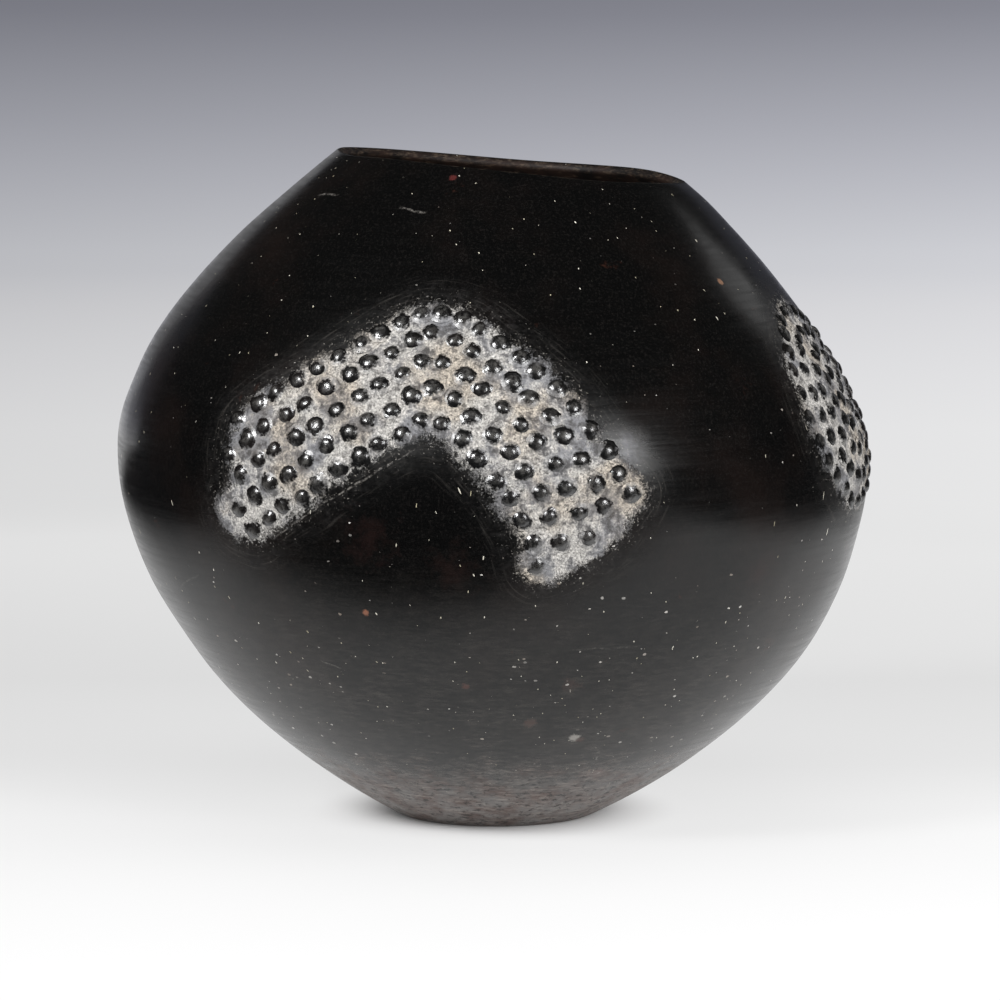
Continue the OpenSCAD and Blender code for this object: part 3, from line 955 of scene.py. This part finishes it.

# %% [markdown]
# ## The paper
# Matte paper is brightest in front of the pot and to the right, and darkens upwards. Almost
# everywhere this light is painted, as a glow with a tone given outright, which keeps it even,
# and a darker band a little behind the pot is a painted soft shadow. Close to the foot it is
# lit as any surface, so the pot's shadow falls on it.

# %% The paper
# Painted tones from the front of the paper, back along it and up the backdrop; the dip round
# 0.09 is a painted soft shadow behind the pot
PAPER_PAINTED_TONES = [
    (0.0, "#fdfdfd"), (0.02, "#f9f9f9"), (0.045, "#f1f1f1"), (0.06, "#e2e2e2"), (0.09, "#d9d9d9"),
    (0.15, "#e1e1e1"), (0.25, "#dededf"), (0.32, "#d8d8da"), (0.42, "#cfcfd2"), (0.52, "#c3c4c9"),
    (0.6, "#b1b2b9"), (0.66, "#a2a3ab"), (0.78, "#81828b"), (1.0, "#4a4b52"),
]
PAPER_FRONT, PAPER_LENGTH, BACKDROP_RISE = 0.4, 8.8, 1.2
# Painted light: the paper's glow is dimmer to the left and brighter to the right
SIDE_REACH, LEFT_TONE, RIGHT_TONE = 0.66, 0.89, 1.12
# Metres from the pot's middle between which the tone turns from lit to painted, in two steps
FOOT_LIT, FOOT_GIVEN, ROOM_LIT, ROOM_GIVEN = 0.035, 0.085, 0.5, 1.3
paper, tree = new_finish("matte_paper_sweep")
place = add(tree, "TexCoord")["Object"]
parts = add(tree, "SeparateXYZ", {0: place})
front_range = {0: parts[1], 1: -PAPER_FRONT, 2: PAPER_LENGTH - PAPER_FRONT}
along = add(tree, "MapRange", front_range)[0]
graded = add(tree, "Math", {0: parts[2], 1: 1 / BACKDROP_RISE, 2: along}, operation="MULTIPLY_ADD")[0]
tone = add(tree, "ValToRGB", {0: graded})[0]
ramp = tone.node.color_ramp
for position, _ in PAPER_PAINTED_TONES[1:-1]:
    ramp.elements.new(position)
for element, (position, colour) in zip(ramp.elements, PAPER_PAINTED_TONES):
    element.position = position
    element.color = paint(colour)
lit = add(tree, "BsdfDiffuse", {"Color": paint("#f2f2f2")})[0]
side_range = {0: parts[0], 1: -SIDE_REACH, 2: SIDE_REACH, 3: LEFT_TONE, 4: RIGHT_TONE}
painted_side_light = add(tree, "MapRange", side_range)[0]
# Painted light: the paper glows with its painted tones rather than being lit
painted_paper_light = add(tree, "Emission", {"Color": tone, "Strength": painted_side_light})[0]
flat_place = add(tree, "VectorMath", {0: place, 1: (1, 1, 0)}, operation="MULTIPLY")[0]
away = add(tree, "VectorMath", {0: flat_place}, operation="LENGTH")["Value"]
foot_range = {0: away, 1: FOOT_LIT, 2: FOOT_GIVEN, 4: 0.8}
beside = add(tree, "MapRange", foot_range, interpolation_type=SOFT)[0]
far = add(tree, "MapRange", {0: away, 1: ROOM_LIT, 2: ROOM_GIVEN}, interpolation_type=SOFT)[0]
given = add(tree, "Math", {0: beside, 1: far}, operation="MAXIMUM")[0]
seen = add(tree, "MixShader", {0: given, 1: lit, 2: painted_paper_light})[0]
print(paper.name, "has", len(PAPER_PAINTED_TONES), "tones")

# %% [markdown]
# ## The paper in reflections
# The sweep that the pot mirrors was narrow, and the studio past its edges was dark. Black
# cards would stand in the way of the other sides, so the paper itself turns dark there, for
# mirrored rays alone.

# %% The paper in reflections
# Where the dark starts and is full: in front, on a slant, and past the sides, which widen
FRONT_SLANT, FRONT_START, FRONT_DARK = 0.4, -0.17, -0.34
SWEEP_MIDDLE, SWEEP_START, SWEEP_DARK, WIDENS_FROM, WIDENS_BY = 0.07, 0.36, 0.66, 1.0, 3.6
rays = add(tree, "LightPath")
skewed = add(tree, "Math", {0: parts[0], 1: FRONT_SLANT, 2: parts[1]}, operation="MULTIPLY_ADD")[0]
front = add(tree, "MapRange", {0: skewed, 1: FRONT_START, 2: FRONT_DARK}, interpolation_type=SOFT)[0]
sideways = add(tree, "Math", {0: parts[0], 1: SWEEP_MIDDLE}, operation="SUBTRACT")[0]
across = add(tree, "Math", {0: sideways}, operation="ABSOLUTE")[0]
widening = add(tree, "MapRange", {0: parts[1], 1: WIDENS_FROM, 2: STAGE_R, 3: 0.0, 4: WIDENS_BY})[0]
past = add(tree, "Math", {0: across, 1: widening}, operation="SUBTRACT")[0]
beyond = add(tree, "MapRange", {0: past, 1: SWEEP_START, 2: SWEEP_DARK}, interpolation_type=SOFT)[0]
off_paper = add(tree, "Math", {0: front, 1: beyond}, operation="MAXIMUM")[0]
dark = add(tree, "Math", {0: off_paper, 1: rays["Is Glossy Ray"]}, operation="MULTIPLY")[0]
night = add(tree, "Emission", {"Color": paint("#1c1c1e"), "Strength": 1.0})[0]
surface = add(tree, "MixShader", {0: dark, 1: seen, 2: night})[0]
add(tree, "OutputMaterial", {"Surface": surface})
sweep.data.materials.append(paper)
print("nodes of the paper:", len(tree.nodes))

# %% [markdown]
# ## The light
# Two soft boxes in front make the glints on the pellets, and one behind on the right makes
# the streak on the shoulder. A dim one behind on the left draws the edge of the dark wall.
# Broad soft lights from above, from the right and from the back fill in; they are kept out
# of the reflections, because the shoulder mirrors a dark studio.

# %% The light
AIM = Vector((0, 0, 0.16))
# Name, degrees round from the front and up, metres away and wide, watts, and if the pot mirrors it
LIGHTS = [
    ("left_soft_box", -44, 33, 1.6, 0.34, 16, True),
    ("right_soft_box", 36, 20, 1.6, 0.42, 9, True),
    ("rear_soft_box", 133, 29, 1.6, 0.36, 0.24, True),
    ("left_edge_light", -160, 8, 1.6, 0.7, 0.4, True),
    ("side_light", 80, 25, 1.8, 0.8, 9, False),
    ("back_light", -155, 30, 1.8, 0.8, 7, False),
    ("top_light", 0, 80, 2.2, 1.6, 12, False),
]


def soft_box(name, turn, rise, distance, size, watts, mirrored):
    """A square light at a direction from the pot, facing it."""
    turn, rise = math.radians(turn), math.radians(rise)
    flat_way = Vector((math.sin(turn), -math.cos(turn), 0))
    way = flat_way * math.cos(rise) + Vector((0, 0, math.sin(rise)))
    light = bpy.data.lights.new(name, "AREA")
    light.size, light.energy = size, watts
    lamp = bpy.data.objects.new(name, light)
    lamp.location = AIM + way * distance
    lamp.rotation_euler = way.to_track_quat("Z", "Y").to_euler()
    lamp.visible_glossy, lamp.visible_camera = mirrored, False
    scene.collection.objects.link(lamp)


for light in LIGHTS:
    soft_box(*light)

# %% [markdown]
# ## The dim studio around
# Walls and ceiling throw a little light from everywhere, but the pot mirrors them as almost
# black. A room could be built; a plain world that is dimmer for mirrored rays does the same.

# %% The dim studio around
world = bpy.data.worlds.new("dim_studio")
world.use_nodes = True
world.node_tree.nodes.clear()
rays = add(world.node_tree, "LightPath")
air = add(world.node_tree, "MapRange", {0: rays["Is Glossy Ray"], 3: 0.35, 4: 0.02})[0]
sky = add(world.node_tree, "Background", {"Color": paint("#ffffff"), "Strength": air})[0]
add(world.node_tree, "OutputWorld", {"Surface": sky})
scene.world = world
print("world:", world.name)
